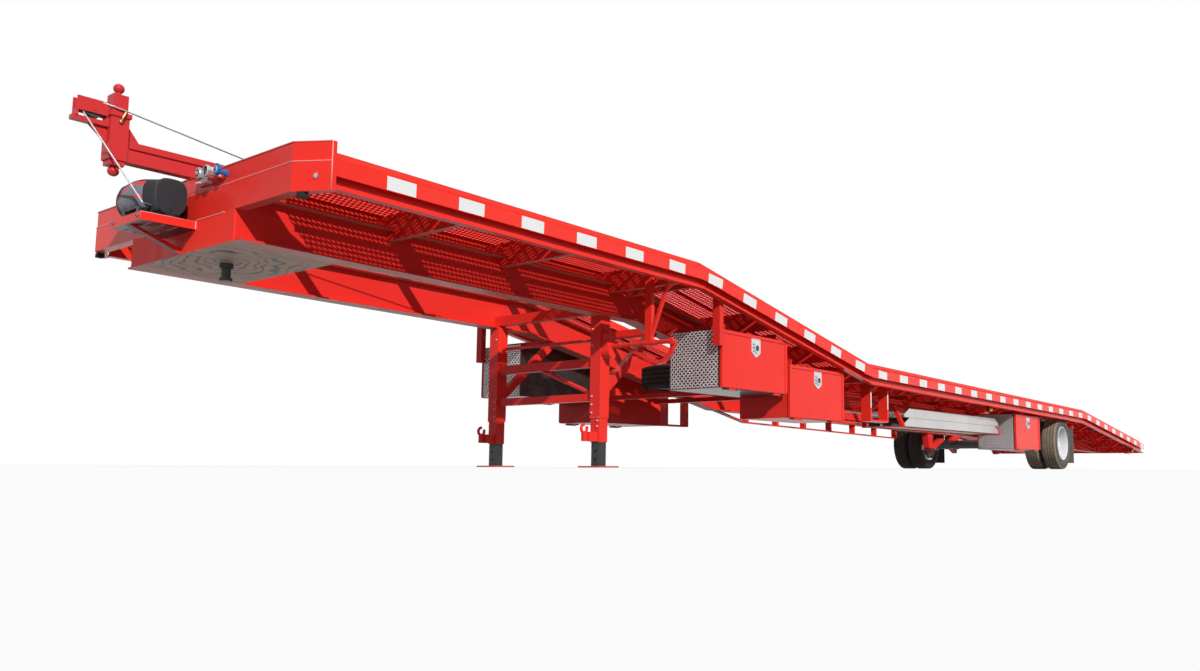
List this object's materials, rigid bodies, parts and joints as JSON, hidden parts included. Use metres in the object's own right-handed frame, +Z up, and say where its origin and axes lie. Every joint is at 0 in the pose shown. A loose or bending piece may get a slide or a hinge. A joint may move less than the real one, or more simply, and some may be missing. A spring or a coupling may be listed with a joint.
{
  "type": "car transporter semi-trailer",
  "caption": "Car transporter semi-trailer with a stepped deck, beaver tail, dual wheels, landing legs, side toolboxes, stowed ramps and a winch boom.",
  "frame": {"origin": "ground under the middle of the overall box", "axes": "+X forward towards the coupling, +Y to the left, +Z up"},
  "size_m": [16.675, 2.591, 2.017],
  "materials": {
    "red_paint": "gloss",
    "white_paint": "gloss",
    "tyre": "matte",
    "tread_plate": "bright tread plate",
    "ramp_metal": "mill",
    "flap_rubber": "dusty",
    "cover_cloth": "matte",
    "dark_steel": "dark",
    "coupling_metal": "cast",
    "amber_lens": "gloss"
  },
  "bodies": {
    "chassis": {"air_couplings": "coupling_metal", "axle": "dark_steel", "boom": "red_paint", "boom_bracket": "red_paint", "coupler_plate": "red_paint", "crank_hanger": "red_paint", "cross_members": "red_paint", "feet": "dark_steel", "flap_brackets": "red_paint", "front_wall": "red_paint", "kingpin": "dark_steel", "lamp_brackets": "red_paint", "lamps": "amber_lens", "leg_bracing": "red_paint", "leg_crank": "red_paint", "legs": "red_paint", "lower_chords": "red_paint", "main_beams": "red_paint", "mud_flaps": "flap_rubber", "outriggers": "red_paint", "ramp_rack": "red_paint", "ramps": "ramp_metal", "runways": "red_paint", "side_rails": "red_paint", "spare_rack": "red_paint", "spare_rim": "white_paint", "spare_tyre": "tyre", "steps": "red_paint", "suspension": "red_paint", "tail_bar": "red_paint", "toolbox_hangers": "red_paint", "toolboxes_front": "tread_plate", "toolboxes_middle": "tread_plate", "toolboxes_rear": "tread_plate", "winch": "dark_steel", "winch_cover": "cover_cloth", "winch_tray": "red_paint"},
    "wheel_pair_left": {"tyres_left": "tyre", "wheels_left": "white_paint"},
    "wheel_pair_right": {"tyres_right": "tyre", "wheels_right": "white_paint"},
    "door_front_left": {"door_front_left": "red_paint"},
    "door_front_right": {"door_front_right": "red_paint"},
    "door_middle_left": {"door_middle_left": "red_paint"},
    "door_middle_right": {"door_middle_right": "red_paint"},
    "door_rear_left": {"door_rear_left": "red_paint"},
    "sheave": {"sheave": "dark_steel"},
    "boom_post": {"boom_post": "red_paint"}
  },
  "joints": [
    {"name": "door_front_left_hinge", "type": "hinge", "parent": "chassis", "child": "door_front_left", "pos_m": [3.883, 1.213, 0.592], "axis": [-1, 0, 0], "range_deg": [0, 90]},
    {"name": "door_front_right_hinge", "type": "hinge", "parent": "chassis", "child": "door_front_right", "pos_m": [4.108, -1.213, 0.592], "axis": [1, 0, 0], "range_deg": [0, 90]},
    {"name": "door_middle_left_hinge", "type": "hinge", "parent": "chassis", "child": "door_middle_left", "pos_m": [2.925, 1.213, 0.407], "axis": [-1, 0, 0], "range_deg": [0, 90]},
    {"name": "door_middle_right_hinge", "type": "hinge", "parent": "chassis", "child": "door_middle_right", "pos_m": [3.15, -1.213, 0.407], "axis": [1, 0, 0], "range_deg": [0, 90]},
    {"name": "door_rear_left_hinge", "type": "hinge", "parent": "chassis", "child": "door_rear_left", "pos_m": [-2.465, 1.213, 0.242], "axis": [-1, 0, 0], "range_deg": [0, 90]},
    {"name": "wheel_spin_left", "type": "hinge", "parent": "chassis", "child": "wheel_pair_left", "pos_m": [-3.9275, 0.9, 0.365], "axis": [0, 1, 0], "continuous": true},
    {"name": "wheel_spin_right", "type": "hinge", "parent": "chassis", "child": "wheel_pair_right", "pos_m": [-3.9275, -0.9, 0.365], "axis": [0, 1, 0], "continuous": true},
    {"name": "sheave_spin", "type": "hinge", "parent": "chassis", "child": "sheave", "pos_m": [8.2375, 0, 1.838], "axis": [0, 1, 0], "continuous": true},
    {"name": "boom_post_slide", "type": "slide", "parent": "chassis", "child": "boom_post", "axis": [0, 0, 1], "range_m": [-0.1, 0.015]}
  ]
}
